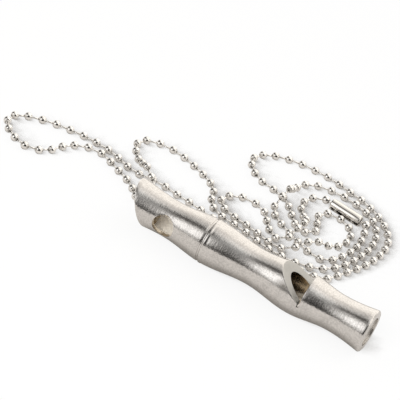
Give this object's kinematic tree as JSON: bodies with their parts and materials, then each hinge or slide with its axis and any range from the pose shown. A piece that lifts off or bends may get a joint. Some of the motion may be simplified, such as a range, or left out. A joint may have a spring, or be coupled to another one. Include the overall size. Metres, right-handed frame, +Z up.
{
  "type": "dog whistle",
  "caption": "Turned steel whistle with a bamboo-like waisted body, slanted lanyard end, cross hole and sounding window, lying with its closed bead-chain necklace and clasp.",
  "frame": {"origin": "centre of the whistle's footprint on the table it lies on", "axes": "+X along the whistle to the mouthpiece, +Y to the back where the chain lies, +Z up"},
  "size_m": [0.1108, 0.0698, 0.012],
  "materials": {
    "satin_steel": "fine-turned satin with faint lathe lines round the body",
    "plug_steel": "plain turned, duller than the body",
    "bright_nickel": "polished nickel plate on steel beads, pins and clasp"
  },
  "bodies": {
    "whistle": {"whistle_body": "satin_steel", "windway_plug": "plug_steel", "end_pin_left": "bright_nickel", "end_pin_right": "bright_nickel", "chain_from_clasp": "bright_nickel", "chain_back_loop": "bright_nickel", "chain_inner_turn": "bright_nickel", "chain_outer_turn": "bright_nickel", "chain_back_run": "bright_nickel", "chain_left_loop": "bright_nickel", "chain_threaded": "bright_nickel", "chain_middle_loop": "bright_nickel", "chain_bundle_run": "bright_nickel", "chain_third_turn": "bright_nickel", "chain_to_clasp": "bright_nickel"},
    "clasp": {"clasp_sleeve": "bright_nickel"},
    "left_end_bead": {"end_bead_left": "bright_nickel"},
    "right_end_bead": {"end_bead_right": "bright_nickel"},
    "left_neck_bead": {"neck_bead_left": "bright_nickel"},
    "right_neck_bead": {"neck_bead_right": "bright_nickel"}
  },
  "joints": [
    {"name": "clasp_turn", "type": "hinge", "parent": "whistle", "child": "clasp", "pos_m": [0.0063, 0.05075, 0.0015], "axis": [0.9936, -0.1132, 0], "continuous": true},
    {"name": "left_end_bead_spin", "type": "hinge", "parent": "whistle", "child": "left_end_bead", "pos_m": [0.0063, 0.05075, 0.0015], "axis": [0.9936, -0.1132, 0], "continuous": true},
    {"name": "right_end_bead_spin", "type": "hinge", "parent": "whistle", "child": "right_end_bead", "pos_m": [0.0063, 0.05075, 0.0015], "axis": [0.9936, -0.1132, 0], "continuous": true},
    {"name": "left_neck_bead_spin", "type": "hinge", "parent": "whistle", "child": "left_neck_bead", "pos_m": [0.0063, 0.05075, 0.0015], "axis": [0.9936, -0.1132, 0], "continuous": true},
    {"name": "right_neck_bead_spin", "type": "hinge", "parent": "whistle", "child": "right_neck_bead", "pos_m": [0.0063, 0.05075, 0.0015], "axis": [0.9936, -0.1132, 0], "continuous": true}
  ]
}
